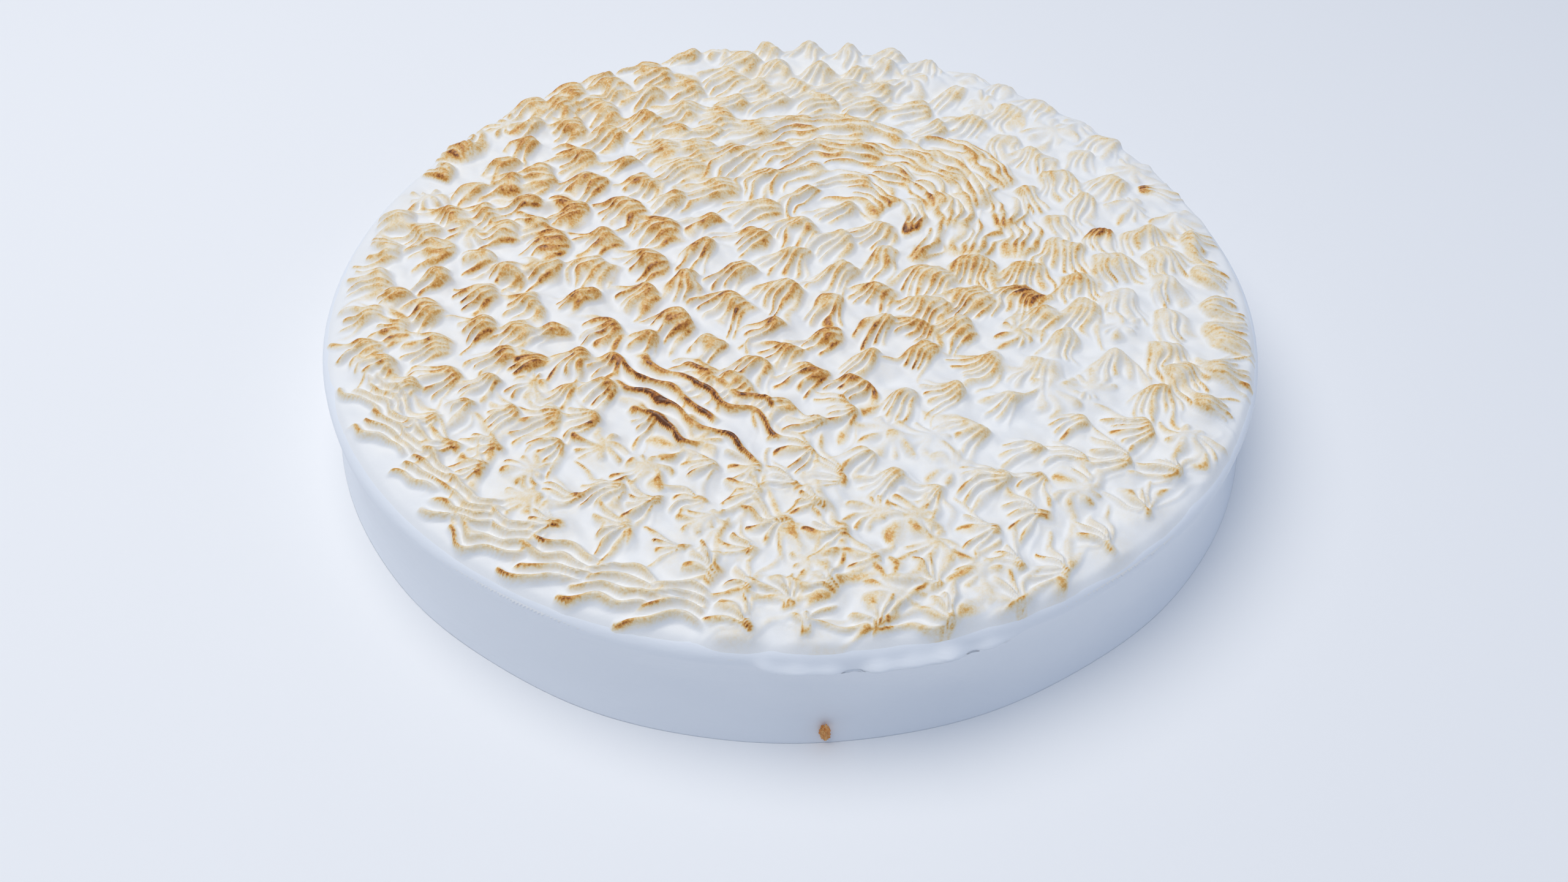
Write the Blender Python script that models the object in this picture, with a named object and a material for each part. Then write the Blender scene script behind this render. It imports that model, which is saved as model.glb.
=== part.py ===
# Lemon souffle tart: a round tart coated in soft meringue, its whole top piped with
# small open-star peaks that follow one spiral to a point off the middle.
# Metres, +Z up. The origin is the middle of the underside.

import math
import random

import bmesh
import bpy
import numpy as np
from mathutils import Vector
from mathutils.geometry import delaunay_2d_cdt

# The coated drum, with a slight waist between its foot and its rim
FOOT_RADIUS = 0.1208
WAIST_RADIUS = 0.1180
RIM_RADIUS = 0.1190
TOP_HEIGHT = 0.0284
WAIST_HEIGHT = 0.0140
FLARE_HEIGHT = 0.0035
RIM_HEIGHT = 0.0245
DRUM_SEGMENTS = 72

# The rounded shoulder: how far the piped sheet's edge lies inside the rim and below
# the top, and the steps that turn the shoulder down into the wall
SHOULDER_INSET = 0.0018
SHOULDER_DROP = 0.0004
SHOULDER_STEPS = 3

# The border of stars round the rim, pushed outwards at the back and at the front
BORDER_STARS = 53
BORDER_RADIUS = 0.1088
BORDER_CENTRE = (0.0012, 0.0)
BACK_PUSH = 0.0040
FRONT_PUSH = 0.0042
FRONT_ANGLE = math.radians(-72.0)
FRONT_SPREAD = math.radians(34.0)
SIDE_INSET = 0.0012

# The spiral inside the border: its first radius, where it starts, the gap between
# turns, the gap between stars, and the point where it ends
SPIRAL_RADIUS = 0.0965
SPIRAL_START = math.radians(48.0)
TURN_PITCH = 0.0124
STAR_PITCH = 0.0125
SPIRAL_END = (0.0080, 0.0120)
SPIRAL_LAST_RADIUS = 0.0070

# Neighbouring stars nearer than this push each other apart, round after round, until
# the rows fill the top evenly
SETTLE_REACH = 0.0150
SETTLE_SHARE = 0.16
SETTLE_ROUNDS = 60
PLACE_JITTER = 0.0006

# One piped star
STAR_FOOT_RADIUS = 0.0079
STAR_RIDGES = 8
GROOVE_SHARE = 0.34          # how far a groove cuts into the height beside a ridge
TIP_REACH = 0.62             # share of the foot radius that a fully dragged tip moves
SLOPE_POWER = 1.7            # above 1 the flank is convex
DISH_REACH = 0.30            # share of the foot radius that a sunk middle takes
RIDGE_STATION = 0.50         # where along a ridge its point is taken, 0 tip, 1 foot
GROOVE_STATION = 0.60
NOSE_STATION = 0.86
SIZE_JITTER = 0.08
TURN_JITTER = math.radians(14.0)

# Points nearer than this to one already taken are left out
POINT_GAP = 0.0017
NEIGHBOUR_REACH = 0.0185
SHEET_MARGIN = 0.0012

# Piping styles. Each has its middle, its reach, the height of its stars, how far the
# tip is dragged (0 to 1), the direction of that drag in degrees, and how far the
# middle of the star is sunk (0 to 1).
STYLES = (
    {"name": "front", "at": (0.000, -0.100), "reach": 0.034, "height": 0.0044,
     "drag": 0.15, "way": 90.0, "dish": 0.40},
    {"name": "front left", "at": (-0.062, -0.068), "reach": 0.020, "height": 0.0042,
     "drag": 0.30, "way": 35.0, "dish": 0.25},
    {"name": "rope", "at": (-0.079, -0.079), "reach": 0.014, "height": 0.0044,
     "drag": 0.85, "way": -45.0, "dish": 0.00},
    {"name": "left", "at": (-0.092, 0.008), "reach": 0.030, "height": 0.0056,
     "drag": 0.50, "way": 22.0, "dish": 0.05},
    {"name": "middle", "at": (-0.032, -0.012), "reach": 0.030, "height": 0.0062,
     "drag": 0.65, "way": 60.0, "dish": 0.00},
    {"name": "long waves", "at": (-0.023, -0.051), "reach": 0.013, "height": 0.0052,
     "drag": 0.95, "way": 143.0, "dish": 0.00},
    {"name": "centre", "at": (0.012, 0.004), "reach": 0.014, "height": 0.0060,
     "drag": 0.65, "way": 85.0, "dish": 0.00},
    {"name": "back middle", "at": (0.008, 0.056), "reach": 0.026, "height": 0.0054,
     "drag": 0.90, "way": 3.0, "dish": 0.00},
    {"name": "back left", "at": (-0.070, 0.075), "reach": 0.034, "height": 0.0062,
     "drag": 0.55, "way": 40.0, "dish": 0.00},
    {"name": "back", "at": (0.010, 0.112), "reach": 0.024, "height": 0.0095,
     "drag": 0.30, "way": 60.0, "dish": 0.00},
    {"name": "back right", "at": (0.076, 0.066), "reach": 0.032, "height": 0.0056,
     "drag": 0.50, "way": 60.0, "dish": 0.00},
    {"name": "right", "at": (0.104, -0.022), "reach": 0.024, "height": 0.0052,
     "drag": 0.60, "way": 172.0, "dish": 0.00},
    {"name": "right middle", "at": (0.050, -0.020), "reach": 0.022, "height": 0.0054,
     "drag": 0.70, "way": 52.0, "dish": 0.00},
    {"name": "front right", "at": (0.060, -0.078), "reach": 0.026, "height": 0.0048,
     "drag": 0.30, "way": 125.0, "dish": 0.20},
)

PART_NAME = "tart"
COLLECTION_NAME = "lemon_souffle_tart"
MERINGUE_COLOR = (0.86, 0.80, 0.68, 1.0)
MERINGUE_ROUGHNESS = 0.55


def clear_scene():
    for old in list(bpy.data.objects):
        bpy.data.objects.remove(old, do_unlink=True)


# The styles are blended, so neighbouring stars change gradually over the top.
def blended_style(x, y):
    total = 0.0
    height = 0.0
    dish = 0.0
    drag_x = 0.0
    drag_y = 0.0
    for style in STYLES:
        away = math.hypot(x - style["at"][0], y - style["at"][1])
        weight = math.exp(-0.5 * (away / style["reach"]) ** 2) + 1e-9
        way = math.radians(style["way"])
        total += weight
        height += weight * style["height"]
        dish += weight * style["dish"]
        drag_x += weight * style["drag"] * math.cos(way)
        drag_y += weight * style["drag"] * math.sin(way)
    return height / total, dish / total, drag_x / total, drag_y / total


def make_star(x, y, rng):
    x += rng.uniform(-PLACE_JITTER, PLACE_JITTER)
    y += rng.uniform(-PLACE_JITTER, PLACE_JITTER)
    height, dish, drag_x, drag_y = blended_style(x, y)
    height *= 1.0 + rng.uniform(-SIZE_JITTER, SIZE_JITTER)
    turn = rng.uniform(-TURN_JITTER, TURN_JITTER)
    lean = STAR_FOOT_RADIUS * TIP_REACH
    tip_x = x + lean * (drag_x * math.cos(turn) - drag_y * math.sin(turn))
    tip_y = y + lean * (drag_x * math.sin(turn) + drag_y * math.cos(turn))
    return {"x": x, "y": y, "tip": (tip_x, tip_y), "height": height, "dish": dish, "turn": turn}


# The border ring comes first, then the spiral runs clockwise from the back and its
# middle drifts from the drum's axis to the point where it ends.
def lay_stars():
    places = []
    for index in range(BORDER_STARS):
        angle = 2.0 * math.pi * index / BORDER_STARS
        from_front = math.remainder(angle - FRONT_ANGLE, 2.0 * math.pi) / FRONT_SPREAD
        at_front = math.exp(-from_front ** 2)
        at_side = (1.0 - at_front) * min(1.0, 1.0 - math.sin(angle))
        radius = BORDER_RADIUS + BACK_PUSH * max(0.0, math.sin(angle))
        radius += FRONT_PUSH * at_front - SIDE_INSET * at_side
        x = BORDER_CENTRE[0] + radius * math.cos(angle)
        y = BORDER_CENTRE[1] + radius * math.sin(angle)
        places.append((x, y))
    radius = SPIRAL_RADIUS
    angle = SPIRAL_START
    while radius > SPIRAL_LAST_RADIUS:
        drift = 1.0 - radius / SPIRAL_RADIUS
        x = SPIRAL_END[0] * drift + radius * math.cos(angle)
        y = SPIRAL_END[1] * drift + radius * math.sin(angle)
        places.append((x, y))
        step = STAR_PITCH / radius
        angle -= step
        radius -= TURN_PITCH * step / (2.0 * math.pi)
    places.append(SPIRAL_END)
    rng = random.Random(7)
    return [make_star(x, y, rng) for x, y in settle(places)]


# The border stays where it is and the stars inside it spread.
def settle(places):
    spots = np.array(places)
    for _ in range(SETTLE_ROUNDS):
        gaps = spots[:, None, :] - spots[None, :, :]
        lengths = np.linalg.norm(gaps, axis=2) + np.eye(len(spots))
        push = np.clip(SETTLE_REACH - lengths, 0.0, None) / lengths
        moves = SETTLE_SHARE * (gaps * push[:, :, None]).sum(axis=1)
        spots[BORDER_STARS:] += moves[BORDER_STARS:]
    return [(float(x), float(y)) for x, y in spots]


# Height of a star's flank at a share of the way from its tip to its foot. A ridge
# measure of 1 is on a crest and 0 in a groove.
def flank_height(star, share, ridge):
    rise = 1.0 - share ** SLOPE_POWER
    groove = 1.0 - GROOVE_SHARE * (1.0 - ridge) * min(1.0, 2.0 * share)
    sunk = 1.0 - star["dish"] * math.exp(-((share / DISH_REACH) ** 2))
    return star["height"] * rise * groove * sunk


# A star's own height over a point. The ridges run from the tip to evenly spaced places
# on the round foot, so a dragged tip gives a shell and a centred one an open star.
def star_height(star, x, y):
    from_x = x - star["x"]
    from_y = y - star["y"]
    if from_x * from_x + from_y * from_y >= STAR_FOOT_RADIUS ** 2:
        return 0.0
    tip_x = star["tip"][0] - star["x"]
    tip_y = star["tip"][1] - star["y"]
    way = Vector((from_x - tip_x, from_y - tip_y))
    if way.length < 1e-7:
        return flank_height(star, 0.0, 1.0)
    along = way.normalized()
    inward = tip_x * along.x + tip_y * along.y
    short = STAR_FOOT_RADIUS ** 2 - tip_x ** 2 - tip_y ** 2
    to_foot = -inward + math.sqrt(inward * inward + short)
    share = min(1.0, way.length / to_foot)
    foot_angle = math.atan2(tip_y + along.y * to_foot, tip_x + along.x * to_foot)
    ridge = 0.5 + 0.5 * math.cos(STAR_RIDGES * (foot_angle - star["turn"]))
    return flank_height(star, share, ridge)


# Point of a star on the line from its tip to one place on its foot.
def flank_point(star, foot_angle, share):
    foot_x = star["x"] + STAR_FOOT_RADIUS * math.cos(foot_angle)
    foot_y = star["y"] + STAR_FOOT_RADIUS * math.sin(foot_angle)
    x = star["tip"][0] + share * (foot_x - star["tip"][0])
    y = star["tip"][1] + share * (foot_y - star["tip"][1])
    return x, y


def relief_height(near, x, y):
    return max((star_height(star, x, y) for star in near), default=0.0)


# The piped sheet as points: tips first, then crests, grooves and noses where no
# neighbour covers them, then the dips where two or three stars meet.
def sheet_points(stars, edge_radius):
    kept = []
    cells = {}

    def add(x, y, z):
        if math.hypot(x, y) > edge_radius - SHEET_MARGIN:
            return
        column = math.floor(x / POINT_GAP)
        row = math.floor(y / POINT_GAP)
        for i in range(column - 1, column + 2):
            for j in range(row - 1, row + 2):
                for other in cells.get((i, j), ()):
                    if math.hypot(other[0] - x, other[1] - y) < POINT_GAP:
                        return
        cells.setdefault((column, row), []).append((x, y))
        kept.append(Vector((x, y, z)))

    near_lists = [near_stars(stars, star["x"], star["y"]) for star in stars]
    for star in stars:
        add(star["tip"][0], star["tip"][1], flank_height(star, 0.0, 1.0))
    half_turn = math.pi / STAR_RIDGES
    on_crest = (0.0, RIDGE_STATION, 1.0)
    in_groove = (half_turn, GROOVE_STATION, 0.0)
    on_nose = (0.0, NOSE_STATION, 1.0)
    for offset, share, ridge in (on_crest, in_groove, on_nose):
        for star, near in zip(stars, near_lists):
            for index in range(STAR_RIDGES):
                x, y = flank_point(star, star["turn"] + offset + 2.0 * half_turn * index, share)
                own = flank_height(star, share, ridge)
                if own >= relief_height(near, x, y) - 1e-6:
                    add(x, y, own)
    for star, near in zip(stars, near_lists):
        for other in near:
            x = 0.5 * (star["x"] + other["x"])
            y = 0.5 * (star["y"] + other["y"])
            add(x, y, relief_height(near, x, y))
        for other, third in zip(near, near[1:] + near[:1]):
            x = (star["x"] + other["x"] + third["x"]) / 3.0
            y = (star["y"] + other["y"] + third["y"]) / 3.0
            add(x, y, relief_height(near, x, y))
    return kept


# The stars about a place, in order round it.
def near_stars(stars, x, y):
    near = [star for star in stars if math.hypot(star["x"] - x, star["y"] - y) < NEIGHBOUR_REACH]
    return sorted(near, key=lambda star: math.atan2(star["y"] - y, star["x"] - x))


def ring_points(radius, height):
    points = []
    for index in range(DRUM_SEGMENTS):
        angle = 2.0 * math.pi * index / DRUM_SEGMENTS
        points.append(Vector((radius * math.cos(angle), radius * math.sin(angle), height)))
    return points


# Radius and height down the outside, from just under the sheet's edge to the foot.
def wall_profile(edge_radius, edge_height):
    profile = []
    for step in range(1, SHOULDER_STEPS + 1):
        angle = 0.5 * math.pi * step / SHOULDER_STEPS
        radius = edge_radius + (RIM_RADIUS - edge_radius) * math.sin(angle)
        height = edge_height - (edge_height - RIM_HEIGHT) * (1.0 - math.cos(angle))
        profile.append((radius, height))
    profile.append((WAIST_RADIUS, WAIST_HEIGHT))
    profile.append((0.5 * (WAIST_RADIUS + FOOT_RADIUS), FLARE_HEIGHT))
    profile.append((FOOT_RADIUS, 0.0))
    return profile


def build_tart(stars):
    edge_radius = RIM_RADIUS - SHOULDER_INSET
    edge_height = TOP_HEIGHT - SHOULDER_DROP
    rim = ring_points(edge_radius, edge_height)
    sheet = sheet_points(stars, edge_radius)
    for point in sheet:
        point.z += TOP_HEIGHT
    points = rim + sheet
    rim_edges = [(index, (index + 1) % len(rim)) for index in range(len(rim))]
    flat = [point.to_2d() for point in points]
    triangles = delaunay_2d_cdt(flat, rim_edges, [], 1, 1e-7)[2]

    bm = bmesh.new()
    verts = [bm.verts.new(point) for point in points]
    for triangle in triangles:
        bm.faces.new([verts[index] for index in triangle])

    # the open edge is drawn out and down, ring by ring, then closed underneath
    ring = [edge for edge in bm.edges if edge.is_boundary]
    radius = edge_radius
    for next_radius, height in wall_profile(edge_radius, edge_height):
        made = bmesh.ops.extrude_edge_only(bm, edges=ring)["geom"]
        ring = [item for item in made if isinstance(item, bmesh.types.BMEdge) and item.is_boundary]
        for vert in {vert for edge in ring for vert in edge.verts}:
            vert.co.x *= next_radius / radius
            vert.co.y *= next_radius / radius
            vert.co.z = height
        radius = next_radius
    bmesh.ops.contextual_create(bm, geom=ring)
    bmesh.ops.recalc_face_normals(bm, faces=bm.faces)

    mesh = bpy.data.meshes.new(PART_NAME)
    bm.to_mesh(mesh)
    bm.free()
    mesh.shade_smooth()
    mesh.set_sharp_from_angle(angle=math.radians(50.0))
    return mesh


def meringue_material():
    material = bpy.data.materials.new("torched_meringue")
    material.use_nodes = True
    shader = material.node_tree.nodes["Principled BSDF"]
    shader.inputs["Base Color"].default_value = MERINGUE_COLOR
    shader.inputs["Roughness"].default_value = MERINGUE_ROUGHNESS
    shader.inputs["Metallic"].default_value = 0.0
    return material


def build_model():
    clear_scene()
    collection = bpy.data.collections.new(COLLECTION_NAME)
    bpy.context.scene.collection.children.link(collection)
    mesh = build_tart(lay_stars())
    mesh.materials.append(meringue_material())
    tart = bpy.data.objects.new(PART_NAME, mesh)
    collection.objects.link(tart)


build_model()
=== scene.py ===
# A round lemon souffle tart coated in soft meringue. The top is piped with small open
# stars that run in a spiral, and a torch has browned the crests of their ridges.

import math
import random

import bpy
import numpy as np
from mathutils import Matrix, Vector


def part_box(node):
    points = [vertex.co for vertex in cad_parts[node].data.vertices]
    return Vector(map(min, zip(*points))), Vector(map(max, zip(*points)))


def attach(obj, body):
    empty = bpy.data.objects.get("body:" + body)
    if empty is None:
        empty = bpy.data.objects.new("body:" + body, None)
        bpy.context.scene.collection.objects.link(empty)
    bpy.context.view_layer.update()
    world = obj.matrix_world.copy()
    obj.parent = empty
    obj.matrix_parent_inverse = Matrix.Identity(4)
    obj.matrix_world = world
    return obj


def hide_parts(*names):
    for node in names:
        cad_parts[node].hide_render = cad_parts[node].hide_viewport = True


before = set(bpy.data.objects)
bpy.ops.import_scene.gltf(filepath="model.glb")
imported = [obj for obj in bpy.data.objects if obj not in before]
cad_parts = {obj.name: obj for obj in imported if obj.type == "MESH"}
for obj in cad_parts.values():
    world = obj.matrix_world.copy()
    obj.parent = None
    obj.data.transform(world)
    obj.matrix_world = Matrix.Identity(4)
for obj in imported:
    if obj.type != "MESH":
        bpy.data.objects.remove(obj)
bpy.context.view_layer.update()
mm = 0.001
print("frame loaded")


def hexColor(code):
    # sRGB hex to the linear colour that a shader socket takes
    parts = [int(code[i:i + 2], 16) / 255.0 for i in (1, 3, 5)]
    linear = [c / 12.92 if c <= 0.04045 else ((c + 0.055) / 1.055) ** 2.4 for c in parts]
    return (linear[0], linear[1], linear[2], 1.0)


def addNode(tree, kind, settings=None, inputs=None, links=None):
    # a node with its own settings, its input values, and what feeds its inputs
    node = tree.nodes.new(kind)
    for name, value in (settings or {}).items():
        setattr(node, name, value)
    for name, value in (inputs or {}).items():
        node.inputs[name].default_value = value
    for name, source in (links or {}).items():
        tree.links.new(source, node.inputs[name])
    return node


def newMaterial(name):
    material = bpy.data.materials.new(name)
    material.use_nodes = True
    return material, material.node_tree, material.node_tree.nodes["Principled BSDF"]


def smoothStep(low, high, value):
    share = np.clip((value - low) / (high - low), 0.0, 1.0)
    return share * share * (3.0 - 2.0 * share)


def hill(angle):
    # 1 where the angle is 0, down to 0 half a turn on
    return 0.5 + 0.5 * np.cos(angle)


def roundedEnd(share, flat, power):
    # 1 at the start, and rounded off to 0 where the share reaches 1
    return (1.0 - share ** flat) ** power


def alongAndAcross(x, y, middle, way):
    # places measured from a middle, along a way and across it
    dx, dy = x - middle[0], y - middle[1]
    cosine, sine = math.cos(way), math.sin(way)
    return dx * cosine + dy * sine, dy * cosine - dx * sine


def meshObject(name, verts, faces, material, fields=None):
    mesh = bpy.data.meshes.new(name)
    mesh.from_pydata(np.asarray(verts).tolist(), [], [tuple(face) for face in faces])
    mesh.materials.append(material)
    mesh.shade_smooth()
    for field, values in (fields or {}).items():
        layer = mesh.attributes.new(field, "FLOAT", "POINT")
        layer.data.foreach_set("value", np.asarray(values, dtype=np.float32))
    piece = bpy.data.objects.new(name, mesh)
    bpy.context.scene.collection.objects.link(piece)
    return piece


# The coat of spread meringue
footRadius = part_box("tart")[1][0]    # from the frame's own box
drum = {
    "footRadius": footRadius,
    "waistRadius": footRadius - 2.8 * mm,
    "rimRadius": footRadius - 1.8 * mm,
    "topHeight": 28.4 * mm,
    "waistHeight": 14.0 * mm,
    "rimHeight": 24.5 * mm,
    "shoulderInset": 3.8 * mm,
    "rimCurve": 1.6,             # powers by which the wall bends out to the rim and to the foot
    "footCurve": 2.4,
    "topRows": (0.0, 0.4, 0.8),  # shares of the rim radius
    "around": 900,
    "shoulderRows": 12,
    "wallRows": 88,
    "wallWave": 0.35 * mm,       # how far the spatula left the wall from round
    "waveFrom": 2.0 * mm,        # it starts this far below the rim
    "waveMiddle": 0.8,
    "waveSpread": 0.5,
    "wallWaves": [(5, 190.0, 0.7, 1.0), (11, -260.0, 0.0, 0.7), (17, 420.0, 0.0, 0.5)],
    "lipAngles": (math.radians(-94.0), math.radians(-66.0)),
    "lipFade": 0.06,
    "lipHeight": 24.2 * mm,      # a ragged lip that the spatula pushed up at the front
    "lipSize": 1.6 * mm,
    "lipBelow": 0.35 * mm,       # it ends sharply below and fades out above
    "lipAbove": 1.2 * mm,
    "lipWander": 0.5 * mm,
    "lipUneven": 0.35,
    "lipWaves": [(61, 0.0, 0.0, 0.6), (23, 0.0, 1.0, 0.9), (97, 0.0, 2.0, 0.5)],
}


spread = {
    "color": "#F0F3F7",
    "ior": 1.5,
    "roughness": 0.5,
    "grain": 13.3333 * mm,       # length of the marks that the spatula drew round the wall
    "flatter": 3.2,              # they are this many times as long as they are high
    "grainDepth": 0.6 * mm,
    "grainStrength": 0.5,
}


def spreadMeringue():
    # Whipped egg white and sugar, spread with a spatula: soft satin white with a faint
    # grain drawn round the wall.
    material, tree, shader = newMaterial("spreadMeringue")
    shader.inputs["Base Color"].default_value = hexColor(spread["color"])
    shader.inputs["IOR"].default_value = spread["ior"]
    shader.inputs["Roughness"].default_value = spread["roughness"]
    place = addNode(tree, "ShaderNodeTexCoord")
    flat = addNode(tree, "ShaderNodeMapping", {}, {"Scale": (1.0, 1.0, spread["flatter"])},
                   {"Vector": place.outputs["Object"]})
    drawn = addNode(tree, "ShaderNodeTexNoise", {},
                    {"Scale": 1.0 / spread["grain"], "Detail": 4.0},
                    {"Vector": flat.outputs["Vector"]})
    bump = addNode(tree, "ShaderNodeBump", {},
                   {"Strength": spread["grainStrength"], "Distance": spread["grainDepth"]},
                   {"Height": drawn.outputs["Fac"]})
    tree.links.new(bump.outputs["Normal"], shader.inputs["Normal"])
    return material


def coatProfile():
    # radius and height from the middle of the top, over the shoulder, down to the foot
    rows = [(radius * drum["rimRadius"], drum["topHeight"]) for radius in drum["topRows"]]
    inner = drum["rimRadius"] - drum["shoulderInset"]
    drop = drum["topHeight"] - drum["rimHeight"]
    for step in range(drum["shoulderRows"] + 1):
        angle = 0.5 * math.pi * step / drum["shoulderRows"]
        rows.append((inner + drum["shoulderInset"] * math.sin(angle),
                     drum["topHeight"] - drop * (1.0 - math.cos(angle))))
    toRim = drum["rimRadius"] - drum["waistRadius"]
    toFoot = drum["footRadius"] - drum["waistRadius"]
    for step in range(1, drum["wallRows"] + 1):
        share = step / drum["wallRows"]
        height = drum["rimHeight"] * (1.0 - share)
        if height > drum["waistHeight"]:
            part = (height - drum["waistHeight"]) / (drum["rimHeight"] - drum["waistHeight"])
            radius = drum["waistRadius"] + toRim * part ** drum["rimCurve"]
        else:
            part = 1.0 - height / drum["waistHeight"]
            radius = drum["waistRadius"] + toFoot * part ** drum["footCurve"]
        rows.append((radius, height))
    return rows


def coatHeight(radius):
    # the coat's own top, flat and then rounded down at the shoulder
    inner = drum["rimRadius"] - drum["shoulderInset"]
    over = np.clip((radius - inner) / drum["shoulderInset"], 0.0, 1.0)
    drop = drum["topHeight"] - drum["rimHeight"]
    return drum["topHeight"] - drop * (1.0 - np.sqrt(1.0 - over ** 2))


def summedWaves(waves, around, height):
    # waves round the wall: how many, how they slant with height, where they start, how strong
    return sum(strong * np.sin(count * around + slant * height + start)
               for count, slant, start, strong in waves)


def spreadCoat(material):
    rows = coatProfile()
    count = drum["around"]
    around = np.arange(count) * 2.0 * math.pi / count
    verts = [np.array([[0.0, 0.0, rows[0][1]]])]
    turned = np.remainder(around + math.pi, 2.0 * math.pi) - math.pi
    low, high = drum["lipAngles"]
    fade = drum["lipFade"]
    onLip = smoothStep(low, low + fade, turned) * smoothStep(high, high - fade, turned)
    ragged = summedWaves(drum["lipWaves"], around, 0.0)
    for radius, height in rows[1:]:
        onWall = smoothStep(drum["topHeight"], drum["rimHeight"] - drum["waveFrom"], height)
        wave = summedWaves(drum["wallWaves"], around, height)
        wide = drum["lipBelow"] if height < drum["lipHeight"] else drum["lipAbove"]
        away = (height - drum["lipHeight"] - drum["lipWander"] * ragged) / wide
        lip = drum["lipSize"] * onLip * (1.0 + drum["lipUneven"] * ragged) * np.exp(-away ** 2)
        dent = drum["waveMiddle"] + drum["waveSpread"] * wave
        bent = radius - drum["wallWave"] * onWall * dent + lip
        level = np.full(count, height)
        verts.append(np.column_stack([bent * np.cos(around), bent * np.sin(around), level]))
    verts.append(np.array([[0.0, 0.0, 0.0]]))
    faces = [(0, 1 + i, 1 + (i + 1) % count) for i in range(count)]
    for row in range(len(rows) - 2):
        top = 1 + row * count
        for i in range(count):
            j = (i + 1) % count
            faces.append((top + i, top + count + i, top + count + j, top + j))
    last = 1 + (len(rows) - 2) * count
    faces += [(last + count, last + (i + 1) % count, last + i) for i in range(count)]
    return meshObject("meringueCoat", np.vstack(verts), faces, material)


crumb = {
    "at": (7.5 * mm, -119.7 * mm, 0.0),
    "size": (1.05 * mm, 1.0 * mm, 2.1 * mm),
    "rough": 0.30,
    "turns": 28,
    "rings": 14,
    "colors": ("#D97F30", "#F5BE78"),
    "colorsAt": (0.3, 0.7),
    "ior": 1.5,
    "roughness": 0.75,
    "grain": 0.6667 * mm,        # ground biscuit
    "grainDepth": 0.3 * mm,
    "grainStrength": 0.6,
}


def bakedBiscuit():
    # Baked biscuit crust: orange gold, dry and grainy, with darker baked grains.
    material, tree, shader = newMaterial("bakedBiscuitCrust")
    place = addNode(tree, "ShaderNodeTexCoord").outputs["Object"]
    grain = addNode(tree, "ShaderNodeTexNoise", {},
                    {"Scale": 1.0 / crumb["grain"], "Detail": 3.0}, {"Vector": place})
    ramp = addNode(tree, "ShaderNodeValToRGB", {}, {}, {"Fac": grain.outputs["Fac"]})
    stops = zip(ramp.color_ramp.elements, crumb["colorsAt"], crumb["colors"])
    for element, position, code in stops:
        element.position = position
        element.color = hexColor(code)
    tree.links.new(ramp.outputs["Color"], shader.inputs["Base Color"])
    shader.inputs["IOR"].default_value = crumb["ior"]
    shader.inputs["Roughness"].default_value = crumb["roughness"]
    bump = addNode(tree, "ShaderNodeBump", {},
                   {"Strength": crumb["grainStrength"], "Distance": crumb["grainDepth"]},
                   {"Height": grain.outputs["Fac"]})
    tree.links.new(bump.outputs["Normal"], shader.inputs["Normal"])
    return material


def crustCrumb(material):
    # a broken crumb of crust that stands at the foot
    turns, rings = crumb["turns"], crumb["rings"]
    verts, faces = [], []
    for ring in range(rings + 1):
        for turn in range(turns):
            polar, around = math.pi * ring / rings, 2.0 * math.pi * turn / turns
            out = math.sin(polar)
            way = Vector((out * math.cos(around), out * math.sin(around), math.cos(polar)))
            lump = math.sin(5.1 * way.x + 1.0) * math.sin(6.3 * way.y + 0.4)
            lump += 0.5 * math.sin(13.0 * way.z + 9.0 * way.x)
            reach = 1.0 + crumb["rough"] * lump
            verts.append([at + reach * size * part
                          for at, size, part in zip(crumb["at"], crumb["size"], way)])
    lowest = min(vert[2] for vert in verts)
    for vert in verts:
        vert[2] -= lowest
    for ring in range(rings):
        above, below = ring * turns, (ring + 1) * turns
        for turn in range(turns):
            after = (turn + 1) % turns
            faces.append((above + turn, below + turn, below + after, above + after))
    return meshObject("crustCrumb", verts, faces, material)


# How the piping changes over the top. Each style holds round its own place, over its
# reach, both in mm, and blends into its neighbours. It names only what differs from here.
plainStyle = {
    "weight": 1.0,       # how strongly it holds against its neighbours
    "height": 5.0,       # of a star, in mm
    "size": 1.0,
    "room": 8.9,         # one more star is piped where the next one is further off, in mm
    "rosette": 0.0,      # share of upright stars, the rest were drawn sideways into shells
    "open": 0.0,         # how far an upright star is sunk in the middle
    "drag": 0.4,         # and how far its tip was pulled sideways
    "way": 60,           # where the heads of shells point, in degrees
    "wayJitter": 24,
    "stretch": 1.0,      # length of a shell
    "swing": 0.4,        # how far its ridges wave to and fro, in mm
    "pitch": 2.4,        # from ridge to ridge across the middle of a shell, in mm
    "finger": 1.7,       # half the width of a ridge at most, in mm
    "fan": 1.4,          # the ridges spread from a point this many lengths ahead
    "extra": 0.0,        # how many ridges a shell has more than usual
    "full": 0.8,         # lower numbers round the ridges, higher ones sharpen them
    "groove": 1.0,       # how deep the grooves between the ridges are
    "lean": 0.12,        # how far to one side of the crests the browning sits
    "flame": 200,        # where the flame came from over an upright star, in degrees
    "aim": 0.4,          # and how much it kept to that side
    "stroke": 0.64,      # how strongly the torch marked the ridges
    "lines": 0.28,       # and the share of that mark which runs on from the ends of the ridges
    "cap": 0.39,         # how strongly it marked the heads
    "capFrom": -0.32,    # and where a head begins, in lengths from the middle of the shell
    "cream": 0.10,       # pale tint of the flanks
    "tan": 0.0,          # and what the flame added to it
    "body": 0.07,        # pale tint of the soft mound below
}
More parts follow.
